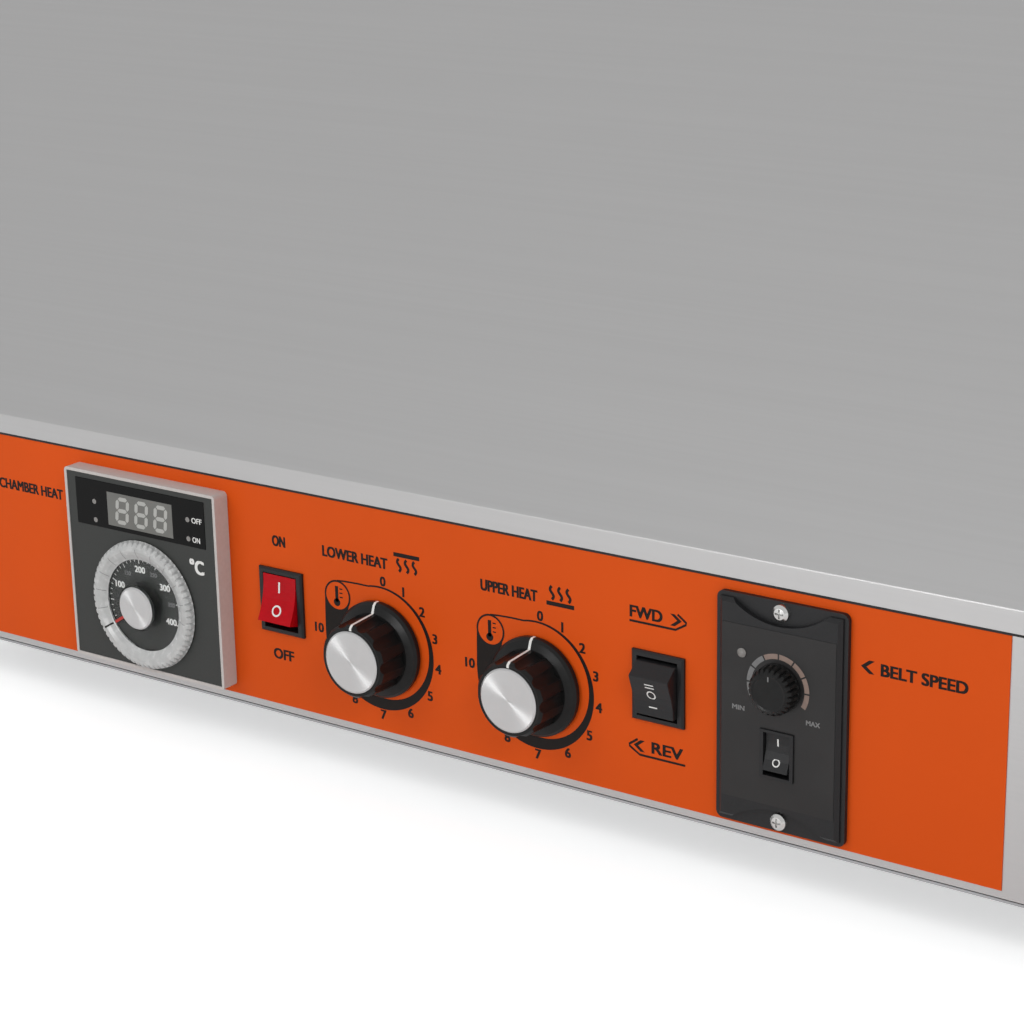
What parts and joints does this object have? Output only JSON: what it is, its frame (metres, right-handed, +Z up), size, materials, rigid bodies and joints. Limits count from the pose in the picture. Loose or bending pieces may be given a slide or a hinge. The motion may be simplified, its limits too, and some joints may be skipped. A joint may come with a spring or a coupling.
{
  "type": "conveyor reflow oven",
  "caption": "Benchtop conveyor oven with a sloped steel hood, an orange front panel of heat, speed and direction controls, and a wire belt running through the tunnel.",
  "frame": {"origin": "on the floor under the middle of the whole object", "axes": "+X to the right along the belt, +Y from the control panel to the back, +Z up"},
  "size_m": [1.107, 0.5674, 0.3946],
  "materials": {
    "stainless": "satin brushed",
    "zinc_sheet": "zinc-plated sheet",
    "label_orange": "printed plastic film",
    "rubber_black": "matt",
    "fastener": "bright plated",
    "black_plastic": "moulded",
    "gloss_black": "polished moulding",
    "red_plastic": "moulded",
    "light_grey_plastic": "moulded",
    "dark_grey_plastic": "printed face",
    "smoked_window": "polished",
    "clear_plastic": "clear moulding",
    "frosted_plastic": "frosted moulding",
    "spun_aluminium": "spun face",
    "ceramic_fibre": "fibre board",
    "ceramic": "fired ceramic",
    "heater_sheath": "heat-stained",
    "belt_wire": "drawn wire",
    "bronze": "sintered",
    "motor_grey": "painted",
    "relay_grey": "moulded"
  },
  "bodies": {
    "oven": {"front_panel": "stainless", "hood_cover": "stainless", "left_end_plate": "stainless", "right_end_plate": "stainless", "rear_panel": "stainless", "front_rail": "stainless", "rear_rail": "stainless", "motor_cover": "stainless", "rail_brackets": "stainless", "base_pan": "zinc_sheet", "deck_plate": "zinc_sheet", "chamber_liner": "zinc_sheet", "crumb_tray": "zinc_sheet", "lower_reflector": "zinc_sheet", "panel_label": "label_orange", "feet": "rubber_black", "foot_screws": "fastener", "cover_screws": "fastener", "speed_screws": "fastener", "baffle_screws": "fastener", "rail_spacers": "fastener", "belt_slides": "fastener", "thermocouple": "fastener", "power_switch_housing": "black_plastic", "direction_switch_housing": "black_plastic", "speed_controller": "black_plastic", "cable_gland": "black_plastic", "fan_frame": "black_plastic", "heat_regulators": "black_plastic", "thermostat_case": "light_grey_plastic", "thermostat_face": "dark_grey_plastic", "display_window": "smoked_window", "floor_insulation": "ceramic_fibre", "wall_insulation": "ceramic_fibre", "roof_insulation": "ceramic_fibre", "heater_insulators": "ceramic", "upper_heaters": "heater_sheath", "lower_heaters": "heater_sheath", "mesh_belt": "belt_wire", "shaft_bushes": "bronze", "gear_motor": "motor_grey", "contactor": "relay_grey"},
    "thermostat_dial_body": {"thermostat_dial": "frosted_plastic", "dial_lens": "clear_plastic", "dial_cap": "spun_aluminium"},
    "lower_heat_knob_body": {"lower_heat_knob": "gloss_black", "lower_knob_cap": "spun_aluminium"},
    "upper_heat_knob_body": {"upper_heat_knob": "gloss_black", "upper_knob_cap": "spun_aluminium"},
    "speed_knob_body": {"speed_knob": "black_plastic"},
    "power_rocker_body": {"power_rocker": "red_plastic"},
    "direction_rocker_body": {"direction_rocker": "black_plastic"},
    "speed_rocker_body": {"speed_rocker": "black_plastic"},
    "drive_roller": {"drive_shaft": "fastener", "drive_sprockets": "fastener"},
    "idler_roller": {"idler_shaft": "fastener", "idler_sprockets": "fastener"},
    "fan_wheel": {"fan_rotor": "black_plastic"},
    "left_baffle_body": {"left_baffle": "stainless"},
    "right_baffle_body": {"right_baffle": "stainless"}
  },
  "joints": [
    {"name": "thermostat_dial_turn", "type": "hinge", "parent": "oven", "child": "thermostat_dial_body", "pos_m": [-0.1605, -0.27039, 0.0711], "axis": [0, 1, 0], "range_deg": [0, 231]},
    {"name": "lower_heat_turn", "type": "hinge", "parent": "oven", "child": "lower_heat_knob_body", "pos_m": [-0.0242, -0.26139, 0.0733], "axis": [0, 1, 0], "range_deg": [0, 270]},
    {"name": "upper_heat_turn", "type": "hinge", "parent": "oven", "child": "upper_heat_knob_body", "pos_m": [0.0613, -0.26139, 0.0733], "axis": [0, 1, 0], "range_deg": [0, 270]},
    {"name": "speed_turn", "type": "hinge", "parent": "oven", "child": "speed_knob_body", "pos_m": [0.1829, -0.26139, 0.0991], "axis": [0, 1, 0], "range_deg": [0, 270]},
    {"name": "power_switch_tilt", "type": "hinge", "parent": "oven", "child": "power_rocker_body", "pos_m": [-0.0812, -0.25739, 0.085], "axis": [1, 0, 0], "range_deg": [0, 28]},
    {"name": "direction_switch_tilt", "type": "hinge", "parent": "oven", "child": "direction_rocker_body", "pos_m": [0.1237, -0.25739, 0.085], "axis": [1, 0, 0], "range_deg": [-9, 9]},
    {"name": "speed_switch_tilt", "type": "hinge", "parent": "oven", "child": "speed_rocker_body", "pos_m": [0.1829, -0.25979, 0.0696], "axis": [1, 0, 0], "range_deg": [0, 20]},
    {"name": "drive_shaft_spin", "type": "hinge", "parent": "oven", "child": "drive_roller", "pos_m": [0.5175, 0.03949, 0.21018], "axis": [0, 1, 0], "continuous": true},
    {"name": "idler_shaft_spin", "type": "hinge", "parent": "oven", "child": "idler_roller", "pos_m": [-0.5175, 0.03949, 0.21018], "axis": [0, 1, 0], "continuous": true},
    {"name": "fan_spin", "type": "hinge", "parent": "oven", "child": "fan_wheel", "pos_m": [0.2336, 0.24849, 0.0875], "axis": [0, 1, 0], "continuous": true},
    {"name": "left_baffle_slide", "type": "slide", "parent": "oven", "child": "left_baffle_body", "axis": [0, 0, -1], "range_m": [0, 0.045]},
    {"name": "right_baffle_slide", "type": "slide", "parent": "oven", "child": "right_baffle_body", "axis": [0, 0, -1], "range_m": [0, 0.045]}
  ],
  "couplings": [
    {"joint": "idler_shaft_spin", "follows": "drive_shaft_spin", "ratio": 1}
  ]
}
